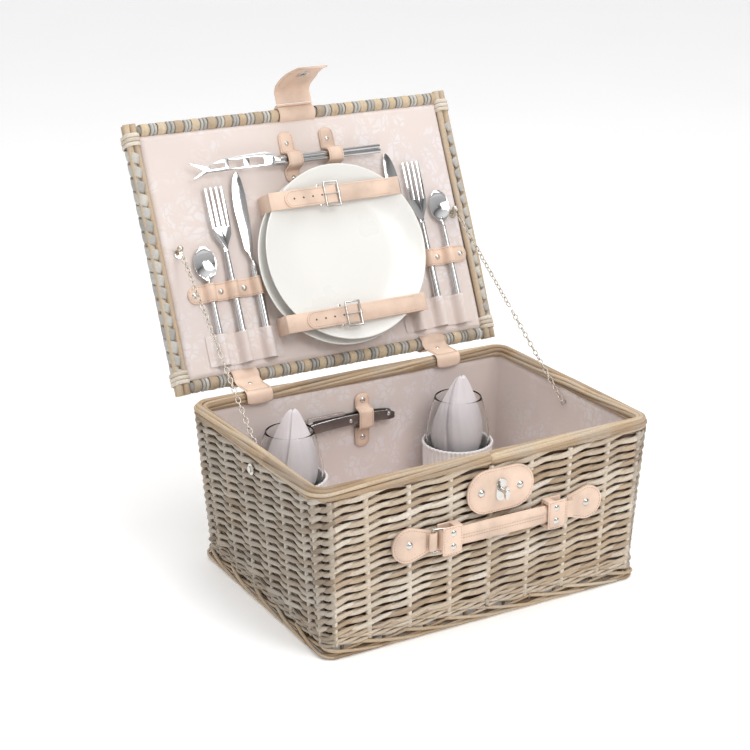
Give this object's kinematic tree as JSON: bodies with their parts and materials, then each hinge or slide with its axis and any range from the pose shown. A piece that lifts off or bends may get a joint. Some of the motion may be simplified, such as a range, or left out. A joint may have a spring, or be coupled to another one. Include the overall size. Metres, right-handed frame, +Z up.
{
  "type": "picnic basket",
  "caption": "Rectangular lined willow hamper with an open lid held by check chains, a leather handle and clasp, and stored plates, glasses, cutlery and a corkscrew.",
  "frame": {"origin": "centre of the basket's base, on the surface it stands on", "axes": "+Z up, +X to the right along the front, the clasp and handle face -Y, the lid opens towards +Y"},
  "size_m": [0.407, 0.4527, 0.5041],
  "materials": {
    "willow": "greyed, limewashed woven willow",
    "willow_frame": "wrapped willow lid rods",
    "cotton": "printed cotton lining",
    "leather": "pale smooth vegetable leather",
    "nickel": "polished nickel",
    "chain": "worn nickel chain",
    "steel": "polished stainless cutlery",
    "dark_steel": "dark satin steel",
    "porcelain": "glossy off-white glaze",
    "glass": "clear thin glass",
    "napkin": "pale lilac cotton napkin"
  },
  "bodies": {
    "basket": {"basket_walls": "willow", "basket_base": "willow", "rim_border": "willow", "foot_border": "willow", "body_lining": "cotton", "glass_pockets": "cotton", "clasp_leather": "leather", "clasp_rivets": "nickel", "staple_plate": "nickel", "handle_tabs": "leather", "handle_tab_rivets": "nickel", "corkscrew_strap": "leather", "chain_eyebolts": "nickel", "hinge_straps": "leather", "hinge_strap_rivets": "nickel"},
    "lid": {"lid_panel": "willow", "lid_back_rod": "willow_frame", "lid_front_rod": "willow_frame", "lid_side_rods": "willow", "lid_lashings": "willow", "lid_lining": "cotton", "cutlery_pockets": "cotton", "cutlery_loops": "leather", "cheese_knife_loops": "leather", "lid_rivets": "nickel", "plate_back": "porcelain", "plate_front": "porcelain", "plate_straps": "leather", "buckle_frames": "nickel", "chain_ball_screws": "nickel", "hasp_root": "leather"},
    "hasp": {"hasp_flap": "leather", "hasp_eyelet": "nickel"},
    "button": {"turn_button": "nickel"},
    "handle": {"handle_grip": "leather", "handle_end_caps": "leather", "handle_cap_rivets": "nickel"},
    "ring_left": {"d_ring_left": "nickel"},
    "ring_right": {"d_ring_right": "nickel"},
    "corkscrew": {"corkscrew_handle": "dark_steel"},
    "worm": {"corkscrew_worm": "nickel"},
    "lever": {"corkscrew_lever": "dark_steel"},
    "blade": {"corkscrew_blade": "nickel"},
    "chain_left_low": {"chain_left_lower": "chain"},
    "chain_left_top": {"chain_left_upper": "chain"},
    "chain_right_low": {"chain_right_lower": "chain"},
    "chain_right_top": {"chain_right_upper": "chain"},
    "glass_left": {"glass_left": "glass"},
    "glass_right": {"glass_right": "glass"},
    "napkin_left": {"napkin_left": "napkin"},
    "napkin_right": {"napkin_right": "napkin"},
    "cheese_knife": {"cheese_knife": "steel"},
    "knife_left": {"knife_left": "steel"},
    "knife_right": {"knife_right": "steel"},
    "fork_left": {"fork_left": "steel"},
    "fork_right": {"fork_right": "steel"},
    "spoon_left": {"spoon_left": "steel"},
    "spoon_right": {"spoon_right": "steel"},
    "prong_upper": {"buckle_prong_upper": "nickel"},
    "prong_lower": {"buckle_prong_lower": "nickel"}
  },
  "joints": [
    {"name": "lid_hinge", "type": "hinge", "parent": "basket", "child": "lid", "pos_m": [0, 0.152, 0.1803], "axis": [-1, 0, 0], "range_deg": [-114.2, 0], "deforming": ["hinge_straps", "napkin_left", "napkin_right"]},
    {"name": "chain_left_low_swing", "type": "hinge", "parent": "basket", "child": "chain_left_low", "pos_m": [-0.183, -0.004, 0.155], "axis": [-0.9928, 0.1051, -0.0576], "range_deg": [0, 127.6]},
    {"name": "chain_left_top_swing", "type": "hinge", "parent": "lid", "child": "chain_left_top", "pos_m": [-0.17, 0.21039, 0.322], "axis": [-0.9862, -0.0604, 0.1543], "range_deg": [0, 62.74]},
    {"name": "chain_right_low_swing", "type": "hinge", "parent": "basket", "child": "chain_right_low", "pos_m": [0.183, -0.004, 0.155], "axis": [-0.996, -0.0682, 0.0578], "range_deg": [0, 127.77]},
    {"name": "chain_right_top_swing", "type": "hinge", "parent": "lid", "child": "chain_right_top", "pos_m": [0.178, 0.21039, 0.322], "axis": [-0.9894, 0.0741, -0.1248], "range_deg": [0, 62.49]},
    {"name": "hasp_flex", "type": "hinge", "parent": "lid", "child": "hasp", "pos_m": [0, 0.28191, 0.45431], "axis": [1, 0, 0], "range_deg": [-10, 40], "stiffness_Nm_per_rad": 0.1},
    {"name": "button_turn", "type": "hinge", "parent": "basket", "child": "button", "pos_m": [0.008, -0.1531, 0.142], "axis": [0, 1, 0], "range_deg": [0, 90]},
    {"name": "handle_lift", "type": "slide", "parent": "basket", "child": "handle", "axis": [0, -1, 0], "range_m": [0, 0.0063]},
    {"name": "ring_left_swing", "type": "hinge", "parent": "basket", "child": "ring_left", "pos_m": [-0.071, -0.1461, 0.105], "axis": [0, 0, -1], "range_deg": [0, 34]},
    {"name": "ring_right_swing", "type": "hinge", "parent": "basket", "child": "ring_right", "pos_m": [0.087, -0.1461, 0.105], "axis": [0, 0, 1], "range_deg": [0, 34]},
    {"name": "corkscrew_slide", "type": "slide", "parent": "basket", "child": "corkscrew", "axis": [-1, 0, 0], "range_m": [0, 0.016]},
    {"name": "worm_fold", "type": "hinge", "parent": "corkscrew", "child": "worm", "pos_m": [-0.014, 0.1248, 0.129], "axis": [0, -1, 0], "range_deg": [0, 90]},
    {"name": "lever_fold", "type": "hinge", "parent": "corkscrew", "child": "lever", "pos_m": [-0.0625, 0.1248, 0.129], "axis": [0, -1, 0], "range_deg": [0, 100]},
    {"name": "blade_fold", "type": "hinge", "parent": "corkscrew", "child": "blade", "pos_m": [0.0345, 0.1248, 0.129], "axis": [0, -1, 0], "range_deg": [0, 120]},
    {"name": "glass_left_lift", "type": "slide", "parent": "basket", "child": "glass_left", "axis": [0, 0, 1], "range_m": [0, 0.09]},
    {"name": "napkin_left_pull", "type": "slide", "parent": "glass_left", "child": "napkin_left", "axis": [0, 0, 1], "range_m": [0, 0.06]},
    {"name": "glass_right_lift", "type": "slide", "parent": "basket", "child": "glass_right", "axis": [0, 0, 1], "range_m": [0, 0.09]},
    {"name": "napkin_right_pull", "type": "slide", "parent": "glass_right", "child": "napkin_right", "axis": [0, 0, 1], "range_m": [0, 0.06]},
    {"name": "knife_left_slide", "type": "slide", "parent": "lid", "child": "knife_left", "axis": [0, 0.4099, 0.9121], "range_m": [0, 0.045]},
    {"name": "knife_right_slide", "type": "slide", "parent": "lid", "child": "knife_right", "axis": [0, 0.4099, 0.9121], "range_m": [0, 0.045]},
    {"name": "fork_left_slide", "type": "slide", "parent": "lid", "child": "fork_left", "axis": [0, 0.4099, 0.9121], "range_m": [0, 0.045]},
    {"name": "fork_right_slide", "type": "slide", "parent": "lid", "child": "fork_right", "axis": [0, 0.4099, 0.9121], "range_m": [0, 0.045]},
    {"name": "spoon_left_slide", "type": "slide", "parent": "lid", "child": "spoon_left", "axis": [0, 0.4099, 0.9121], "range_m": [0, 0.045]},
    {"name": "spoon_right_slide", "type": "slide", "parent": "lid", "child": "spoon_right", "axis": [0, 0.4099, 0.9121], "range_m": [0, 0.045]},
    {"name": "cheese_knife_slide", "type": "slide", "parent": "lid", "child": "cheese_knife", "axis": [-1, 0, 0], "range_m": [0, 0.045]},
    {"name": "prong_upper_lift", "type": "hinge", "parent": "lid", "child": "prong_upper", "pos_m": [0.0195, 0.20599, 0.36564], "axis": [0, 0.4099, 0.9121], "range_deg": [0, 100]},
    {"name": "prong_lower_lift", "type": "hinge", "parent": "lid", "child": "prong_lower", "pos_m": [0.016, 0.15065, 0.2425], "axis": [0, 0.4099, 0.9121], "range_deg": [0, 100]}
  ],
  "couplings": [
    {"joint": "chain_left_low_swing", "follows": "lid_hinge", "ratio": -1.1173},
    {"joint": "chain_left_top_swing", "follows": "lid_hinge", "ratio": -0.54934},
    {"joint": "chain_right_low_swing", "follows": "lid_hinge", "ratio": -1.1187},
    {"joint": "chain_right_top_swing", "follows": "lid_hinge", "ratio": -0.54711},
    {"joint": "ring_left_swing", "follows": "handle_lift", "rad_per_m": 83.111},
    {"joint": "ring_right_swing", "follows": "handle_lift", "rad_per_m": 83.111}
  ]
}
